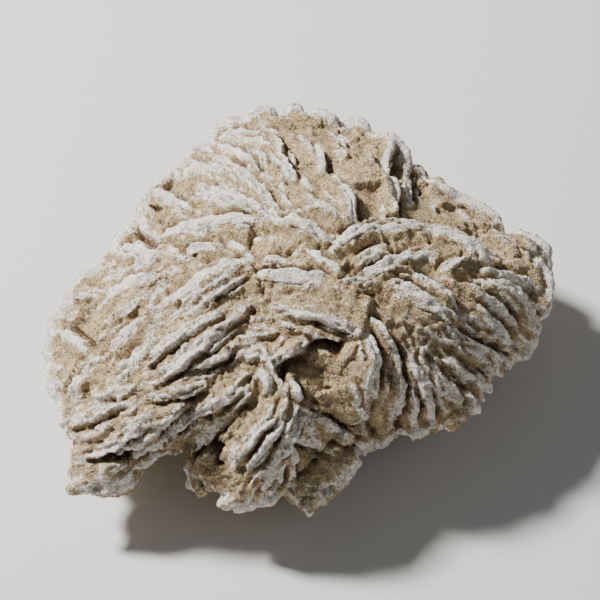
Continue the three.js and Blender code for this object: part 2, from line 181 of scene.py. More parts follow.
# The blades of the outline: (from u, from v, to u, to v, bow, level over the mid plane, thickness).
EDGE_BLADES = [
    (-24.6, 27.3, -18.4, 32.2, 1.4, 2, 2.6),
    (-19, 32.6, -10.5, 37.4, 1.8, 1, 3),
    (-11.4, 37, -3.8, 37.8, 2.4, 2, 2.6),
    (-3.8, 37.6, 1.8, 38.6, 2.2, 0, 2.6),
    (1, 38.6, 8.9, 35.8, 1.2, 3, 3),
    (8.5, 35.4, 15.2, 35.2, 1.8, 1, 2.6),
    (15.2, 34.4, 22.8, 28.3, 1.4, 4, 2.2),
    (21.6, 27.3, 26.4, 24.3, 0.9, 1, 2.6),
    (26, 24.3, 31.8, 20.4, 0.8, 2, 2.4),
    (31.4, 20.2, 41.4, 15.2, 1.6, 1, 2.8),
    (41.5, 13.6, 50.8, 7.6, 2.4, 2, 2.8),
    (46, 8, 50.6, 1, 1.8, 5, 2.8),
    (49.4, 2.6, 47.8, -4.4, 1.2, 0, 2.6),
    (47.4, -3.5, 42.8, -12.6, 1.4, 1, 2.8),
    (-46.4, 1, -36, 6.2, 1.8, 3, 2.8),
    (-46.4, 1.6, -45.2, -2.2, -0.6, 1, 2.4),
    (-38, 10.6, -32, 16.6, 0.8, 3, 2.6),
    (-33, 15.4, -30.4, 21.4, 0.6, 3, 2.6),
    (-30.4, 21, -24.4, 27.9, 0.8, 1, 2.8),
    (-49.8, -5, -44.8, -0.8, 1.2, 3, 2.8),
    (-50.4, -13.5, -48.2, -5, 0.9, 2, 2.8),
    (-47.6, -20.4, -50, -12.5, 0.8, 1, 2.8),
    (-46.2, -25.9, -46.6, -18.5, 0.8, 1, 2.6),
    (-43.8, -35.8, -43.8, -28.5, 0.8, 0, 2.6),
    (-36.8, -35.4, -43.8, -35.2, 0.8, 1, 2.4),
    (-31.4, -32.9, -38.6, -35.8, 0.9, 3, 2.4),
    (-3.4, -38.2, -15.4, -37.8, 1.6, 2, 2.8),
    (4.4, -35.6, -3.4, -37.8, 1.2, 1, 2.8),
    (11.2, -30.1, 3.4, -36.2, 0.9, 1, 2.6),
    (19.6, -26.7, 9.6, -27.3, 0.8, 3, 2.6),
    (31, -19.4, 19.6, -26.5, 1.4, 3, 2.8),
    (38.2, -15.6, 30.6, -20.6, 0.8, 3, 2.6),
]

# Sand grains on the skin: (name, how many, least size, greatest size, tones from dark to pale).
SAND_GRAINS = [
    ("tan_grains", 9900, 0.22, 0.4, (0.25, 0.65)),
    ("pale_grains", 6000, 0.2, 0.34, (0.6, 1)),
    ("brown_grains", 9000, 0.2, 0.38, (0.08, 0.4)),
    ("dark_grains", 5000, 0.2, 0.4, (0, 0.1)),
]

# Sand that fills the deepest gaps: (u, v, radius, how far it comes up from the gap's floor).
SAND_FILLS = [
    (3, -12, 11, 4),
    (0.5, -11, 5, 3.5),
    (0.2, -16, 6, 4.6),
    (7, -16, 9, 2.4),
    (-16.5, -29.5, 4.5, 3.4),
    (-19, -31, 3.5, 2.5),
    (-37.3, -30.2, 3, 2.6),
    (-29.3, 18.7, 2.5, 1.8),
    (4, -30.5, 2.5, 1.5),
]

# Where the blades crowd in thin layers: (u, v, half width, half height, how many layers).
DENSE_COMBS = [
    (-31, -24, 15, 9, 260),
    (-20, -6, 13, 9, 200),
    (-12, -27, 9, 10, 120),
    (-19, 21, 10, 8, 120),
    (31, -12, 13, 9, 160),
]

# Calm sandy areas with few fine crests: (u, v, half width, half height, share of the crests left out).
CALM_AREAS = [
    (4.5, -13.5, 7.5, 7.5, 1),
    (25, 24, 17, 9, 0.93),
    (8, 28, 10, 8, 0.6),
    (-41, -11, 6, 8, 0.6),
    (-30, 13, 6, 5, 0.5),
    (36, -3, 8, 5, 0.4),
    (-12, 12, 6, 3, 0.5),
]


def at(u, v, w=0.0):
    """A place by its millimetres over the middle of the face."""
    return FACE_CENTRE + (RIGHT * u + UPWARD * v + OUT * w) * MM


# ---------------------------------------------------------------- meshes


def object_of(name, mesh):
    obj = bpy.data.objects.new(name, mesh)
    bpy.context.scene.collection.objects.link(obj)
    return obj


def mesh_of(name, bm):
    mesh = bpy.data.meshes.new(name)
    bm.to_mesh(mesh)
    bm.free()
    return mesh


def finished(obj, modifier, **settings):
    """The object with one modifier added and its result kept as its mesh."""
    added = obj.modifiers.new(modifier.lower(), modifier)
    for key, value in settings.items():
        setattr(added, key, value)
    graph = bpy.context.evaluated_depsgraph_get()
    mesh = bpy.data.meshes.new_from_object(obj.evaluated_get(graph), depsgraph=graph)
    obj.modifiers.clear()
    obj.data = mesh
    return obj


def places_of(mesh):
    flat = np.empty(len(mesh.vertices) * 3, np.float32)
    mesh.vertices.foreach_get("co", flat)
    return flat.reshape(-1, 3).astype(float)


def normals_of(mesh):
    flat = np.empty(len(mesh.vertices) * 3, np.float32)
    mesh.vertex_normals.foreach_get("vector", flat)
    return flat.reshape(-1, 3).astype(float)


def move_to(mesh, places):
    mesh.vertices.foreach_set("co", places.astype(np.float32).ravel())
    mesh.update()


def edges_of(mesh):
    flat = np.empty(len(mesh.edges) * 2, np.int32)
    mesh.edges.foreach_get("vertices", flat)
    return flat.reshape(-1, 2)


def spread(values, edges, times, share=0.5):
    """Values at the vertices, each blended that many times with its neighbours' mean."""
    count = len(values)
    ends = np.concatenate([edges[:, 0], edges[:, 1]])
    others = np.concatenate([edges[:, 1], edges[:, 0]])
    degree = np.maximum(np.bincount(ends, minlength=count), 1)
    out = values.reshape(count, -1).copy()
    for _ in range(times):
        for k in range(out.shape[1]):
            mean = np.bincount(ends, weights=out[others, k], minlength=count) / degree
            out[:, k] += share * (mean - out[:, k])
    return out.reshape(values.shape)


def ramp(values, low, high):
    share = np.clip((values - low) / (high - low), 0, 1)
    return share * share * (3 - 2 * share)


# ---------------------------------------------------------------- blades


def unit_lens():
    """A disc of radius 1 in X and Z with blunt rims, and half a unit thick each way along Y."""
    bm = bmesh.new()
    bmesh.ops.create_uvsphere(bm, u_segments=26, v_segments=10, radius=1)
    bmesh.ops.rotate(bm, verts=bm.verts, matrix=Matrix.Rotation(math.pi / 2, 3, "X"))
    for vert in bm.verts:
        radius = min(math.hypot(vert.co.x, vert.co.z), 1)
        vert.co.y = math.copysign(0.5 * (1 - radius**4) ** 0.25, vert.co.y)
    return mesh_of("unit_lens", bm)


class Blades:
    """Blades gathered into one mesh, with the run and the face direction of each along its rim."""

    def __init__(self, mass):
        whole = bmesh.new()
        whole.from_mesh(mass)
        bmesh.ops.remove_doubles(whole, verts=whole.verts, dist=0.002 * MM)
        self.skin = BVHTree.FromBMesh(whole)
        self.mass = mesh_of("mass", whole)
        self.lens = unit_lens()
        self.bm = bmesh.new()
        self.rims = []

    def joined(self):
        self.bm.from_mesh(self.mass)
        return mesh_of("rose_body", self.bm)

    def over(self, u, v):
        """Where the mass lies under a point of the face."""
        hit = self.skin.ray_cast(at(u, v, 80), -OUT)[0]
        return hit if hit else at(u, v, 0)

    def fill(self, u, v, radius, rise):
        ball = bmesh.new()
        middle = self.over(u, v) + OUT * ((rise - radius) * MM)
        bmesh.ops.create_icosphere(ball, subdivisions=3, radius=radius * MM, matrix=Matrix.Translation(middle))
        self.bm.from_mesh(mesh_of("fill", ball))

    def add(self, start, end, rise, drop, depth, thickness):
        along = end - start
        length = along.length
        along.normalize()
        up = (rise - along * rise.dot(along)).normalized()
        depth = max(depth, drop)
        reach = length / 2 / math.sqrt(1 - ((depth - drop) / depth) ** 2)
        centre = (start + end) / 2 + up * (drop - depth)
        across = up.cross(along)
        place = Matrix((along, across, up)).transposed().to_4x4()
        place.translation = centre
        first = len(self.bm.verts)
        self.bm.from_mesh(self.lens)
        self.bm.verts.ensure_lookup_table()
        sized = place @ Matrix.Diagonal((reach, thickness, depth, 1))
        bmesh.ops.transform(self.bm, matrix=sized, verts=self.bm.verts[first:])
        self.note_rim(centre, along, across, up, reach, depth)

    def note_rim(self, centre, along, across, up, reach, depth):
        steps = 14
        for i in range(steps + 1):
            turn = math.radians(-80 + 160 * i / steps)
            spot = centre + along * (reach * math.sin(turn)) + up * (depth * math.cos(turn))
            self.rims.append((spot, along, across))

    def on_face(self, from_u, from_v, to_u, to_v, bow, height, thickness):
        length = math.hypot(to_u - from_u, to_v - from_v)
        drop = max(0.6 * height + 0.004 * length * length, abs(bow) / 0.9)
        lean = bow / drop
        run = Vector((to_u - from_u, to_v - from_v)).normalized()
        left = RIGHT * -run.y + UPWARD * run.x
        start = self.over(from_u, from_v) + OUT * (0.4 * height * MM)
        end = self.over(to_u, to_v) + OUT * (0.4 * height * MM)
        rise = left * lean + OUT * math.sqrt(1 - lean * lean)
        self.add(start, end, rise, drop * MM, 6 * MM, thickness * MM)


class Nearby:
    """Finds the places round a point."""

    def __init__(self, places, size):
        self.size = size
        keys = np.floor(places / size).astype(int)
        order = np.lexsort(keys.T)
        keys = keys[order]
        cuts = np.flatnonzero(np.any(np.diff(keys, axis=0), axis=1)) + 1
        firsts = np.concatenate([[0], cuts])
        self.groups = {tuple(keys[first]): group for first, group in zip(firsts, np.split(order, cuts))}

    def around(self, point, reach):
        low = np.floor((point - reach) / self.size).astype(int)
        high = np.floor((point + reach) / self.size).astype(int)
        cells = itertools.product(*(range(start, end + 1) for start, end in zip(low, high)))
        found = [self.groups[cell] for cell in cells if cell in self.groups]
        return np.concatenate(found) if found else np.empty(0, int)


class Core:
    """The rounded mass inside the blades, from which heights are measured."""

    def __init__(self, mesh):
        core = object_of("core", mesh.copy())
        finished(core, "REMESH", mode="VOXEL", voxel_size=2.2 * MM)
        places = spread(places_of(core.data), edges_of(core.data), 12)
        move_to(core.data, places)
        whole = bmesh.new()
        whole.from_mesh(core.data)
        self.skin = BVHTree.FromBMesh(whole)
        whole.free()
        self.normals = normals_of(core.data)
        self.tree = KDTree(len(places))
        for i, place in enumerate(places):
            self.tree.insert(place, i)
        self.tree.balance()
        bpy.data.objects.remove(core)

    def under(self, point):
        """The nearest place of the core and the way out there."""
        spot = self.skin.find_nearest(point)[0]
        out = Vector((0, 0, 0))
        for _, i, gap in self.tree.find_n(point, 4):
            out += Vector(self.normals[i]) / (gap + MM)
        return spot, out.normalized()

    def heights(self, places):
        outs = np.empty_like(places)
        heights = np.empty(len(places))
        for i, place in enumerate(places):
            spot, out = self.under(place)
            outs[i] = out
            heights[i] = (Vector(place) - spot).dot(out)
        return heights / MM, outs


class Ridge:
    """A blade's crest on the skin: a long flank on one side of it and a cleft under its edge on the other."""

    def __init__(self, start, end, out, bow, peak, flank, rim, cleft, white=1.0):
        self.centre = np.array((start + end) / 2)
        run = end - start
        self.half = run.length / 2
        self.along = np.array(run.normalized())
        self.out = np.array(out)
        self.across = np.cross(self.out, self.along)
        self.across /= np.linalg.norm(self.across)
        self.bow = bow
        self.side = 1 if bow >= 0 else -1
        self.peak = peak
        self.flank = flank
        self.rim = rim
        self.cleft = cleft
        self.white = white
        self.valley = VALLEY
        self.shift = 0
        self.phase = chance.uniform(0, 6.28)
        self.band = 0.6

    def lean(self):
        return self.across * self.side

    def near(self, nearby, places, outs):
        """The places round the crest, and where they lie along it and across it."""
        picked = nearby.around(self.centre, self.half + 5 * MM)
        gaps = places[picked] - self.centre
        along = gaps @ self.along / self.half
        across = gaps @ self.across / MM
        level = gaps @ self.out / MM
        facing = outs[picked] @ self.out
        kept = (np.abs(along) < 1) & (np.abs(across) < 8) & (np.abs(level) < 7) & (facing > 0.5)
        along = along[kept]
        return picked[kept], along, (across[kept] - self.bow * (1 - along**2)) * self.side - self.shift

    def crest_of(self, heights, along, across):
        """How high the blade that is there already stands along the crest."""
        on_top = (np.abs(along) < 0.7) & (np.abs(across) < 0.7)
        return np.percentile(heights[on_top], 80) if on_top.sum() > 5 else 0.8

    def shape(self, along, across):
        """The height of the skin and the depth of the cleft at each place."""
        run = along * self.half / MM
        across = across + 0.14 * np.sin(1.2 * run + self.phase) + 0.06 * np.sin(3.4 * run + 2 * self.phase)
        taper = np.sqrt(1 - along**2)
        down = np.maximum(-across - self.rim / 2, 0) / self.flank
        steep = np.maximum(across - self.rim / 2, 0) / 0.4
        nicks = 0.12 * np.sin(1.7 * run + 3 * self.phase) + 0.07 * np.sin(4.7 * run + 5 * self.phase)
        height = self.peak + nicks - (self.peak - self.valley) * np.where(across < 0, down**0.85, steep)
        height = self.valley + (height - self.valley) * taper
        cleft = self.cleft * np.exp(-(((across - self.rim / 2 - 0.75) / 0.5) ** 2)) * taper
        inside = (self.band - np.abs(across + 0.4 * self.band)) / (0.4 * self.band)
        white = self.white * taper**0.35 * np.clip(inside, 0, 1)
        return height, cleft, white


VALLEY = -1.1


def frame_of(core, point):
    spot, out = core.under(point)
    return spot, out


def main_ridges(core, blades):
    """The flanks and the clefts of the blades that were listed."""
    ridges = []
    for from_u, from_v, to_u, to_v, bow, height, thickness in MAIN_BLADES + FINE_BLADES:
        start, end = blades.over(from_u, from_v), blades.over(to_u, to_v)
        _, out = core.under((start + end) / 2)
        out = (out + OUT).normalized()
        length = (end - start).length / MM
        flank = min(1.2 + 0.22 * length, 4.6) if height > 2 else 1.8
        cleft = min(0.8 + 0.08 * length, 1.9)
        ridge = Ridge(start, end, out, bow, None, flank, 0.4, cleft)
        ridge.shift = 0.3 * thickness
        ridge.band = 0.56 * thickness
        ridges.append(ridge)
    return ridges


def hidden_guides(core):
    """Runs for the blades of the sides, the back and the underside: across the outline where they are near it."""
    guides = []
    for _ in range(150):
        way = Vector(chance.normal(size=3)).normalized()
        level = way.dot(OUT)
        if level > 0.12:
            continue
        spot, out = core.under(FACE_CENTRE + way * (60 * MM))
        run = Vector(chance.normal(size=3)) + OUT * (2.5 if level > -0.25 else 0)
        run = (run - out * run.dot(out)).normalized()
        guides.append(Ridge(spot - run * MM, spot + run * MM, out, chance.choice((-0.1, 0.1)), 0, 1, 1, 0))
    return guides


def hidden_ridges(core, guides):
    """Combs of larger crests beside those runs."""
    ridges = []
    for guide in guides:
        half = chance.uniform(3.5, 7) * MM
        gap = chance.uniform(1.7, 3)
        for k in range(int(chance.integers(2, 5))):
            spot, out = core.under(Vector(guide.centre + guide.across * (k * gap * MM)))
            if out.dot(OUT) > 0.3:
                continue
            run = Vector(guide.along + guide.across * (chance.normal() * 0.1))
            run = (run - out * run.dot(out)).normalized()
            middle = spot + run * (chance.normal() * 1.2 * MM)
            reach = half * chance.uniform(0.7, 1.2)
            bow = guide.side * chance.uniform(0.1, 0.8)
            peak = chance.uniform(0.5, 1.6)
            ridge = Ridge(middle - run * reach, middle + run * reach, out, bow, peak, gap * 1.2, 0.4, 1.2)
            ridge.white = chance.uniform(0.5, 1)
            ridge.band = 0.9
            ridges.append(ridge)
    return ridges


def fine_ridges(core, guides, places, heights, outs):
    """Small crests that follow the runs of the blades round them."""
    centres = np.array([guide.centre for guide in guides])
    runs = np.array([guide.along for guide in guides])
    leans = np.array([guide.lean() for guide in guides])
    weights_of = np.array([guide.half / MM for guide in guides])
    ridges = []
    for i in chance.integers(0, len(places), FINE_TRIES):
        place, out = places[i], outs[i]
        if place[2] < 2.5 * MM or heights[i] > 2.5:
            continue
        gaps = np.linalg.norm(centres - place, axis=1) / MM
        weights = weights_of / (gaps**2 + 9) ** 2
        if chance.uniform() < calm_at(place):
            continue
        nearest = gaps.min()
        if chance.uniform() < (nearest - 4) / 9:
            continue
        pull = (runs * weights[:, None]).T @ runs
        run = np.linalg.eigh(pull)[1][:, 2]
        run -= out * (run @ out)
        run /= np.linalg.norm(run)
        across = np.cross(out, run)
        turn = chance.normal() * 0.13
        run, across = run * math.cos(turn) + across * math.sin(turn), across * math.cos(turn) - run * math.sin(turn)
        side = math.copysign(1, (leans * weights[:, None]).sum(axis=0) @ across)
        half = chance.uniform(1.6, 5.2) * MM
        start, end = Vector(place - run * half), Vector(place + run * half)
        outline = max(0, 1 - abs(out @ np.array(OUT)) / 0.5)
        peak = min(heights[i] + chance.uniform(0.3, 1.3) * (1 - 0.6 * outline), 1.7)
        bow = side * chance.uniform(0.05, 0.5)
        flank = chance.uniform(0.8, 2.0)
        rim = chance.uniform(0.25, 0.7)
        cleft = chance.uniform(0.3, 0.9)
        ridge = Ridge(start, end, Vector(out), bow, peak, flank, rim, cleft, chance.uniform(0.1, 0.85))
        ridge.valley = heights[i] - 0.5
        ridges.append(ridge)
    return ridges


def comb_ridges(places, heights, outs, ridges):
    """Thin layers beside the crests of the combs."""
    centres = np.array([ridge.centre for ridge in ridges])
    thin = []
    for u, v, wide, high, tries in DENSE_COMBS:
        gaps = places - np.array(FACE_CENTRE)
        sideways = np.hypot((gaps @ np.array(RIGHT) / MM - u) / wide, (gaps @ np.array(UPWARD) / MM - v) / high)
        inside = np.flatnonzero((sideways < 1) & (outs @ np.array(OUT) > 0.4))
        for i in chance.choice(inside, tries):
            near = ridges[int(np.argmin(np.linalg.norm(centres - places[i], axis=1)))]
            run = near.along - outs[i] * (outs[i] @ near.along)
            turn = chance.normal() * 0.12
            run = run + near.across * turn
            run /= np.linalg.norm(run)
            half = chance.uniform(1, 2.8) * MM
            peak = heights[i] + chance.uniform(0.2, 0.7)
            bow = near.side * chance.uniform(0.02, 0.2)
            start, end = Vector(places[i] - run * half), Vector(places[i] + run * half)
            cleft = chance.uniform(0.25, 0.6)
            ridge = Ridge(start, end, Vector(outs[i]), bow, peak, 0.9, 0.2, cleft, chance.uniform(0.3, 1))
            ridge.valley = heights[i] - 0.3
            ridge.band = 0.4
            thin.append(ridge)
    return thin


def calm_at(place):
    """What share of the fine crests is left out at a place."""
    gap = Vector(place) - FACE_CENTRE
    if gap.dot(OUT) < 0:
        return 0
    u, v = gap.dot(RIGHT) / MM, gap.dot(UPWARD) / MM
    shares = [share for cu, cv, wide, high, share in CALM_AREAS if math.hypot((u - cu) / wide, (v - cv) / high) < 1]
    return max(shares, default=0)


def raise_skin(places, edges, facing, heights, outs, ridges):
    """New heights over the core, and how close each place is to a crest."""
    nearby = Nearby(places, 4 * MM)
    tops = np.full(len(places), -9.0)
    clefts = np.zeros(len(places))
    crests = np.zeros(len(places))
    for ridge in ridges:
        picked, along, across = ridge.near(nearby, places, outs)
        if len(picked) < 8:
            continue
        if ridge.peak is None:
            ridge.peak = ridge.crest_of(heights[picked], along, across + ridge.shift) + 0.6
        height, cleft, white = ridge.shape(along, across)
        over = height > tops[picked]
        tops[picked] = np.maximum(tops[picked], height)
        clefts[picked] = np.maximum(clefts[picked], cleft)
        seen = white * np.clip(1.3 - (np.maximum(tops[picked], heights[picked]) - height) / 0.9, 0, 1)
        crests[picked] = np.where(over, np.maximum(seen, crests[picked] * 0.4), np.maximum(seen, crests[picked]))
    deep = np.clip((heights + 3) / 1.4, 0, 1)
    raised = np.clip(tops - heights, 0, 2.6) * deep * facing
    raised = np.minimum(raised, spread(raised, edges, 6) + 0.8)
    return (raised - clefts * deep * facing) * MM, crests


def edge_crests(places, normals, facing, crests, rise):
    """Marks the skin near the rims of the outline's blades as crests too, and draws it in between the blades."""
    nearby = Nearby(places, 4 * MM)
    fronts = np.clip(1.8 * (normals @ np.array(OUT)) + 0.1, 0, 1)
    for from_u, from_v, to_u, to_v, bow, level, thickness in EDGE_BLADES:
        chalked = chance.uniform(0.85, 1.25)
        start = at(from_u, from_v, level + MID_SLOPE * from_v)
        end = at(to_u, to_v, level + MID_SLOPE * to_v)
        run = Vector((to_u - from_u, to_v - from_v)).normalized()
        left = RIGHT * -run.y + UPWARD * run.x
        for share in np.linspace(0.06, 0.94, 9):
            spot = np.array(start.lerp(end, share) + left * (bow * (1 - (2 * share - 1) ** 2) * MM))
            picked = nearby.around(spot, 0.9 * thickness * MM)
            gaps = np.linalg.norm(places[picked] - spot, axis=1) / MM
            white = np.clip(1.5 - gaps / (0.75 * thickness), 0, 1) * fronts[picked] * chalked
            crests[picked] = np.maximum(crests[picked], white)
            lobe = 0.5 * MM * np.exp(-((gaps / (0.6 * thickness)) ** 2)) * facing[picked]
            rise[picked] = np.maximum(rise[picked], lobe)
        for tip in (start, end):
            picked = nearby.around(np.array(tip), 6 * MM)
            offsets = (places[picked] - np.array(tip)) / MM
            sideways = np.hypot(offsets @ np.array(RIGHT), offsets @ np.array(UPWARD))
            rise[picked] -= 0.8 * MM * np.exp(-((sideways / 1.1) ** 2)) * facing[picked]


def rough_places(places, normals, outs):
    """Where the vertices go once the blades are wavy and gritty."""
    moved = places.copy()
    for i, (place, normal) in enumerate(zip(places, normals)):
        mm = Vector(place) / MM
        wave = noise.noise_vector(mm / 8) * 0.6 + noise.noise_vector(mm / 2.6 + Vector((9, 3, 7))) * 0.2
        lumps = noise.fractal(mm / 1.2, 0.6, 2.1, 3)
        swell = noise.fractal(mm / 3.4 + Vector((4, 1, 6)), 0.7, 2.1, 2)
        low = (Vector(place) - FACE_CENTRE).dot(UPWARD) / MM
        grit = 0.16 + 0.09 * min(1, max(0, (-low - 4) / 12))
        push = grit * lumps + 0.2 * swell
        moved[i] = place + (np.array(wave) + normal * push) * MM * free_at(place)
    moved[:, 2] = np.maximum(moved[:, 2], 0)
    return moved


def free_at(place):
    """How freely a place may move: not at all on the flat that the rose rests on."""
    return min(1.0, max(0.0, (place[2] - 0.2 * MM) / (2.5 * MM)))


def rose_body():
    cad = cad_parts["sand_rose"]
    blades = Blades(cad.data)
    for line in FINE_BLADES:
        blades.on_face(*line)
    for ball in SAND_FILLS:
        blades.fill(*ball)
    body = object_of("rose_body", blades.joined())
    finished(body, "REMESH", mode="VOXEL", voxel_size=VOXEL)
    mesh = body.data
    edges = edges_of(mesh)
    places = spread(places_of(mesh), edges, 2)
    move_to(mesh, places)
    started = time.time()
    core = Core(mesh)
    heights, outs = core.heights(places)
    print("core", round(time.time() - started, 1), np.round(np.percentile(heights, [2, 10, 25, 50, 75, 90, 98]), 2))
    main = main_ridges(core, blades)
    hidden = hidden_guides(core)
    main += hidden_ridges(core, hidden)
    fine = fine_ridges(core, main, places, heights, outs)
    print("ridges", len(main), len(fine), round(time.time() - started, 1))
    fine += comb_ridges(places, heights, outs, main + fine)
    normals = normals_of(mesh)
    facing = np.clip((np.einsum("ij,ij->i", normals, outs) + 0.15) / 0.45, 0, 1)
    facing *= np.clip((places[:, 2] / MM - 0.2) / 2.5, 0, 1)
    rise, crests = raise_skin(places, edges, facing, heights, outs, main + fine)
    edge_crests(places, normals, facing, crests, rise)
    places += outs * rise[:, None]
    places = spread(places, edges, 1)
    move_to(mesh, places)
    move_to(mesh, rough_places(places, normals_of(mesh), outs))
    add_value(mesh, "crest", crests)
    print("raised", round(time.time() - started, 1))
    triangles = sum(len(p.vertices) - 2 for p in mesh.polygons)
    print("remeshed triangles", triangles)
    finished(body, "DECIMATE", ratio=min(1, MOST_TRIANGLES / triangles), use_collapse_triangulate=True)
    body.data.shade_smooth()
    note_fibres(body.data, main + fine)
    print("decimated", round(time.time() - started, 1))
    return body


def note_fibres(mesh, ridges):
    """Stores how far each place lies across and along the nearest crest, in millimetres."""
    spots = [(ridge, ridge.centre + ridge.along * ridge.half * share) for ridge in ridges for share in (-0.6, 0, 0.6)]
    tree = KDTree(len(spots))
    for i, (_, spot) in enumerate(spots):
        tree.insert(spot, i)
    tree.balance()
    places = places_of(mesh)
    nearest = [tree.find(place)[1] for place in places]
    centres = np.array([ridge.centre for ridge, _ in spots])[nearest]
    across = np.array([ridge.across for ridge, _ in spots])[nearest]
    along = np.array([ridge.along for ridge, _ in spots])[nearest]
    gaps = (places - centres) / MM
    sets = [(gaps * across).sum(axis=1), (gaps * along).sum(axis=1), np.array(nearest) // 3 * 7.3]
    attribute = mesh.attributes.new("fibre", "FLOAT_VECTOR", "POINT")
    attribute.data.foreach_set("vector", np.stack(sets, axis=1).astype(np.float32).ravel())


def add_value(mesh, name, values):
    attribute = mesh.attributes.new(name, "FLOAT", "POINT")
    attribute.data.foreach_set("value", np.asarray(values, np.float32))


def openness(mesh, places, normals, rays, reach):
    """How much of the sky over each vertex is clear of the rose itself, from 0 in a crevice to 1."""
    bm = bmesh.new()
    bm.from_mesh(mesh)
    skin = BVHTree.FromBMesh(bm)
    bm.free()
    golden = math.pi * (3 - math.sqrt(5))
    ways = []
    for k in range(rays):
        level = 1 - (k + 0.5) / rays
        flat = math.sqrt(1 - level * level)
        ways.append(Vector((flat * math.cos(golden * k), flat * math.sin(golden * k), level)))
    clear = np.zeros(len(places))
    for i, (place, normal) in enumerate(zip(places, normals)):
        out = Vector(normal)
        spin = out.to_track_quat("Z", "Y") @ Matrix.Rotation(0.7 * i, 3, "Z").to_quaternion()
        start = Vector(place) + out * (0.25 * MM)
        free = 0
        for way in ways:
            hit = skin.ray_cast(start, spin @ way, reach)
            free += 1 if hit[0] is None else (hit[3] / reach) ** 1.5
        clear[i] = free / rays
    return clear


def note_finish(body):
    """Stores on the body what its finish follows: how proud, how open and how near a rim each place is."""
    mesh = body.data
    places = places_of(mesh)
    normals = normals_of(mesh)
    edges = edges_of(mesh)
    coarse = spread(places, edges, 40)
    medium = spread(places, edges, 8)
    proud = np.einsum("ij,ij->i", places - coarse, normals) / MM
    sharp = np.einsum("ij,ij->i", places - medium, normals) / MM
    # How open each place is to the sky; the finish paints shade into the closed places by it.
    clear = spread(openness(mesh, places, normals, 14, 9 * MM), edges, 3)
    add_value(mesh, "proud", proud)
    add_value(mesh, "sharp", sharp)
    add_value(mesh, "clear", clear)
    for name, values in (("proud", proud), ("sharp", sharp), ("clear", clear)):
        print(name, np.round(np.percentile(values, [2, 10, 25, 50, 75, 90, 98]), 3))


# ---------------------------------------------------------------- sand


def lump():
    """The corners and the faces of a small lump, one unit across."""
    bm = bmesh.new()
    bmesh.ops.create_icosphere(bm, subdivisions=1, radius=0.5)
    corners = np.array([vert.co for vert in bm.verts])
    faces = np.array([[vert.index for vert in face.verts] for face in bm.faces])
    bm.free()
    return corners, faces


def any_turns(count):
    """Rotations in every direction, as matrices."""
    w, x, y, z = (chance.normal(size=(4, count)) / 1.0)
    size = np.sqrt(w * w + x * x + y * y + z * z)
    w, x, y, z = w / size, x / size, y / size, z / size
    rows = [
        [1 - 2 * (y * y + z * z), 2 * (x * y - w * z), 2 * (x * z + w * y)],
        [2 * (x * y + w * z), 1 - 2 * (x * x + z * z), 2 * (y * z - w * x)],
        [2 * (x * z - w * y), 2 * (y * z + w * x), 1 - 2 * (x * x + y * y)],
    ]
    return np.moveaxis(np.array(rows), 2, 0)


def scatter(name, body, count, low, high, tones):
    """Sand grains stuck to the skin, between two sizes in millimetres and two tones, as one mesh."""
    mesh = body.data
    mesh.calc_loop_triangles()
    corners = np.empty(len(mesh.loop_triangles) * 3, np.int32)
    mesh.loop_triangles.foreach_get("vertices", corners)
    corners = corners.reshape(-1, 3)
    places = places_of(mesh)
    crest = np.empty(len(places), np.float32)
    mesh.attributes["crest"].data.foreach_get("value", crest)
    a, b, c = (places[corners[:, k]] for k in range(3))
    normals = np.cross(b - a, c - a)
    areas = np.linalg.norm(normals, axis=1)
    weights = areas * np.clip(1.1 - crest[corners[:, 0]], 0.3, 1) * (places[corners, 2].min(axis=1) > 0.5 * MM)
    picks = chance.choice(len(corners), count, p=weights / weights.sum())
    first, second = np.sort(chance.uniform(size=(2, count)), axis=0)
    shares = np.stack([first, second - first, 1 - second], axis=1)[:, :, None]
    spots = a[picks] * shares[:, 0] + b[picks] * shares[:, 1] + c[picks] * shares[:, 2]
    outs = normals[picks] / areas[picks, None]
    sizes = chance.uniform(low, high, count) * MM
    shape, faces = lump()
    scales = sizes[:, None] * chance.uniform(0.65, 1, (count, 3))
    grains = np.einsum("gij,gkj->gki", any_turns(count), shape[None] * scales[:, None])
    grains += (spots + outs * (0.12 * sizes)[:, None])[:, None]
    all_faces = faces[None] + (np.arange(count) * len(shape))[:, None, None]
    made = bpy.data.meshes.new(name)
    made.from_pydata(grains.reshape(-1, 3).tolist(), [], all_faces.reshape(-1, 3).tolist())
    add_value(made, "tone", np.repeat(chance.uniform(*tones, count), len(shape)))
    add_value(made, "dust", np.repeat(crest[corners[picks, 0]], len(shape)))
    return object_of(name, made)


# ---------------------------------------------------------------- finish


def linear(red, green, blue):
    """A colour from its 0 to 255 values on a screen."""
    return tuple(((c / 255 + 0.055) / 1.055) ** 2.4 if c > 10 else c / 3294 for c in (red, green, blue)) + (1,)


class Value:
    """A number that a finish works out over the surface."""

    def __init__(self, finish, socket):
        self.finish = finish
        self.socket = socket

    def math(self, operation, *others, **settings):
        sockets = {0: self, **{i + 1: other for i, other in enumerate(others)}}
        return self.finish.node("ShaderNodeMath", {"operation": operation, **settings}, sockets).value()

    def __add__(self, other):
        return self.math("ADD", other)

    __radd__ = __add__

    def __mul__(self, other):
        return self.math("MULTIPLY", other)

    __rmul__ = __mul__

    def __sub__(self, other):
        return self.math("SUBTRACT", other)

    def __rsub__(self, other):
        return self.finish.node("ShaderNodeMath", {"operation": "SUBTRACT"}, {0: other, 1: self}).value()

    def over(self, low, high):
        """0 at low, 1 at high, and smooth between."""
        settings = {"interpolation_type": "SMOOTHSTEP"}
        sockets = {"Value": self, "From Min": low, "From Max": high}
        return self.finish.node("ShaderNodeMapRange", settings, sockets).value("Result")


class Node:
    def __init__(self, finish, node):
        self.finish = finish
        self.node = node

    def value(self, name=0):
        return Value(self.finish, self.node.outputs[name])

    def __getitem__(self, name):
        return self.node.outputs[name]


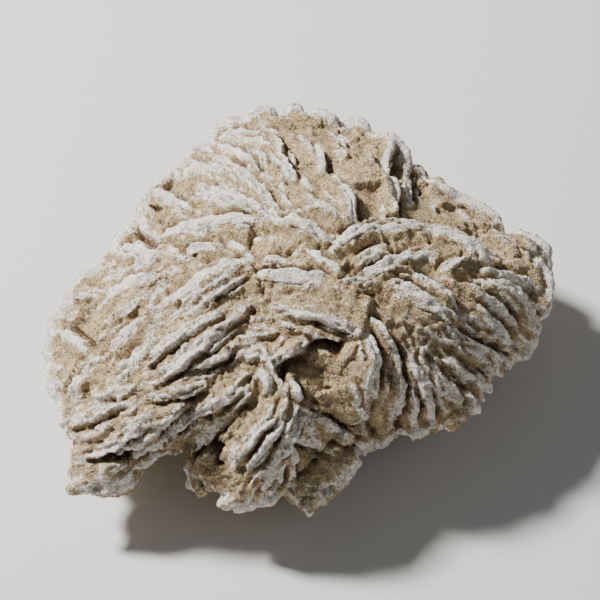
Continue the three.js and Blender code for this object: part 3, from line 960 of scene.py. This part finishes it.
class Finish:
    """A material and the nodes that are added to it."""

    def __init__(self, name):
        self.material = bpy.data.materials.new(name)
        self.material.use_nodes = True
        self.tree = self.material.node_tree
        self.shader = self.tree.nodes["Principled BSDF"]
        self.place = self.node("ShaderNodeTexCoord")["Object"]

    def node(self, kind, settings=None, sockets=None):
        node = self.tree.nodes.new(kind)
        for key, value in (settings or {}).items():
            setattr(node, key, value)
        for key, value in (sockets or {}).items():
            self.feed(node.inputs[key], value)
        return Node(self, node)

    def feed(self, socket, value):
        if isinstance(value, Value):
            value = value.socket
        if isinstance(value, bpy.types.NodeSocket):
            self.tree.links.new(value, socket)
        else:
            socket.default_value = value

    def stored(self, name):
        return self.node("ShaderNodeAttribute", {"attribute_name": name}).value("Fac")

    def noise(self, size, detail=2.0, roughness=0.5, **settings):
        """A noise whose features are that many millimetres across."""
        sockets = {"Vector": self.place, "Scale": 1 / (size * MM), "Detail": detail, "Roughness": roughness}
        return self.node("ShaderNodeTexNoise", settings, sockets).value("Fac")

    def fibres(self, across, along):
        """A noise drawn out along the blades' crests, by its size across them and along them."""
        place = self.node("ShaderNodeAttribute", {"attribute_name": "fibre"})["Vector"]
        sized = self.node("ShaderNodeVectorMath", {"operation": "MULTIPLY"}, {0: place, 1: (1 / across, 1 / along, 1)})
        sockets = {"Vector": sized["Vector"], "Scale": 1, "Detail": 2, "Roughness": 0.5}
        return self.node("ShaderNodeTexNoise", {}, sockets).value("Fac")

    def cells(self, size, output="Distance", **settings):
        sockets = {"Vector": self.place, "Scale": 1 / (size * MM)}
        return self.node("ShaderNodeTexVoronoi", settings, sockets)[output]

    def mix(self, share, one, other, blend="MIX"):
        settings = {"data_type": "RGBA", "blend_type": blend}
        node = self.node("ShaderNodeMix", settings)
        self.feed(node.node.inputs[0], share)
        self.feed(node.node.inputs[6], one)
        self.feed(node.node.inputs[7], other)
        return node.node.outputs[2]

    def bump(self, height, distance, strength=1.0, normal=None):
        sockets = {"Height": height, "Distance": distance * MM, "Strength": strength}
        if normal is not None:
            sockets["Normal"] = normal
        return self.node("ShaderNodeBump", {}, sockets)["Normal"]

    def set(self, **sockets):
        for key, value in sockets.items():
            self.feed(self.shader.inputs[key.replace("_", " ")], value)


def sandy_gypsum():
    finish = Finish("sandy_gypsum")
    clear = finish.stored("clear")
    proud = finish.stored("proud")
    sharp = finish.stored("sharp")
    crest = finish.stored("crest")
    broad = finish.noise(9, 3)
    patch = finish.noise(2.6, 4, 0.6)
    fine = finish.noise(0.5, 3, 0.65)
    grains = Value(finish, finish.cells(0.42))
    grain_tone = finish.node(
        "ShaderNodeSeparateColor", {}, {"Color": finish.cells(0.42, "Color")}
    )
    tone = grain_tone.value("Red")
    pick = grain_tone.value("Green")

    sand = finish.mix(patch.over(0.35, 0.65), linear(158, 136, 103), linear(187, 165, 128))
    sand = finish.mix(tone.over(0.55, 1) * 0.6, sand, linear(214, 192, 156))
    # Painted shade: places that see little sky get a dark brown painted in, standing in for the shadow in the
    # crevices; deep is that painted shade colour.
    deep = finish.mix(broad.over(0.4, 0.6), linear(74, 54, 38), linear(98, 74, 52))
    painted_hollow_shade = (0.7 - clear + 0.18 * (patch - 0.5)).over(0.0, 0.42)
    colour = finish.mix(painted_hollow_shade * 0.9, sand, deep)

    chalk = finish.mix((0.6 * fine + 0.4 * tone).over(0.22, 0.6), linear(200, 190, 174), linear(242, 237, 228))
    fibre = finish.fibres(0.45, 3)
    dusted = 0.95 * crest + 0.14 * proud + 0.35 * sharp + 0.4 * (clear - 0.8)
    dusted = dusted + 0.45 * (patch - 0.5) + 0.8 * (fine - 0.5) + 0.4 * (fibre - 0.5) + 0.3 * (tone - 0.5)
    colour = finish.mix(dusted.over(0.24, 0.76), colour, chalk)

    speck = pick.over(0.86, 0.89) * (0.32 - grains).over(0, 0.1) * (1 - dusted.over(0.4, 0.9) * 0.5)
    colour = finish.mix(speck * 0.95, colour, linear(60, 49, 41))
    glint = (0.045 - pick).over(0, 0.02) * (0.3 - grains).over(0, 0.1)
    colour = finish.mix(glint * 0.8, colour, linear(250, 246, 238))

    bump = finish.bump(finish.noise(1.1, 4, 0.6), 0.5, 0.45)
    bump = finish.bump(fibre, 0.35, 0.6, bump)
    bump = finish.bump(1 - grains * 1.8, 0.16, 0.6, bump)
    bump = finish.bump(finish.noise(0.22, 3, 0.7), 0.14, 0.7, bump)
    finish.set(Base_Color=colour, Roughness=0.92 - glint * 0.55, Normal=bump)
    finish.set(**{"Specular IOR Level": 0.35})
    return finish.material


def sand_grain():
    finish = Finish("sand_grain")
    tone = finish.stored("tone")
    dust = finish.stored("dust")
    colour = finish.mix(tone.over(0.0, 0.3), linear(58, 46, 38), linear(128, 98, 66))
    colour = finish.mix(tone.over(0.3, 0.6), colour, linear(184, 156, 116))
    colour = finish.mix(tone.over(0.6, 0.95), colour, linear(236, 226, 206))
    colour = finish.mix(dust.over(0.25, 0.8) * 0.85, colour, linear(230, 224, 214))
    finish.set(Base_Color=colour, Roughness=0.75 - tone.over(0.8, 1) * 0.5)
    return finish.material


def pale_floor():
    finish = Finish("pale_floor")
    finish.set(Base_Color=linear(226, 224, 220), Roughness=0.8)
    return finish.material


# ---------------------------------------------------------------- stage


def lay_floor():
    bm = bmesh.new()
    bmesh.ops.create_grid(bm, x_segments=1, y_segments=1, size=2.5)
    floor = object_of("floor", mesh_of("floor", bm))
    floor.data.materials.append(pale_floor())


def light(name, way, distance, size, power, colour=(1, 1, 1)):
    """A square lamp that looks at the face from that way: right, up the face and out of it."""
    lamp = bpy.data.lights.new(name, "AREA")
    lamp.size = size
    lamp.energy = power
    lamp.color = colour
    lit = object_of(name, lamp)
    toward = (RIGHT * way[0] + UPWARD * way[1] + OUT * way[2]).normalized()
    lit.location = FACE_CENTRE + toward * distance
    lit.rotation_mode = "QUATERNION"
    lit.rotation_quaternion = toward.to_track_quat("Z", "Y")
    return lit


def set_stage():
    lay_floor()
    light("key", (-0.62, 0.66, 0.42), 0.8, 0.11, 16, (1, 0.985, 0.96))
    light("fill", (0.7, 0.1, 0.75), 1.0, 0.9, 0.8, (0.95, 0.97, 1))
    world = bpy.data.worlds.new("studio")
    world.use_nodes = True
    world.node_tree.nodes["Background"].inputs["Color"].default_value = (0.93, 0.96, 1, 1)
    world.node_tree.nodes["Background"].inputs["Strength"].default_value = 0.12
    bpy.context.scene.world = world


def set_camera():
    distance = 0.6
    half_view = 0.06
    lens = bpy.data.cameras.new("camera")
    lens.sensor_width = 36
    lens.lens = lens.sensor_width / 2 * distance / half_view
    camera = object_of("camera", lens)
    camera.location = FACE_CENTRE + OUT * distance
    camera.rotation_mode = "QUATERNION"
    camera.rotation_quaternion = OUT.to_track_quat("Z", "Y")
    bpy.context.scene.camera = camera


set_camera()
set_stage()
body = rose_body()
note_finish(body)
body.data.materials.clear()
body.data.materials.append(sandy_gypsum())
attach(body, "root")
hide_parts("sand_rose")

grain_finish = sand_grain()
for name, count, low, high, tones in SAND_GRAINS:
    grains = scatter(name, body, count, low, high, tones)
    grains.data.materials.append(grain_finish)
    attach(grains, "root")
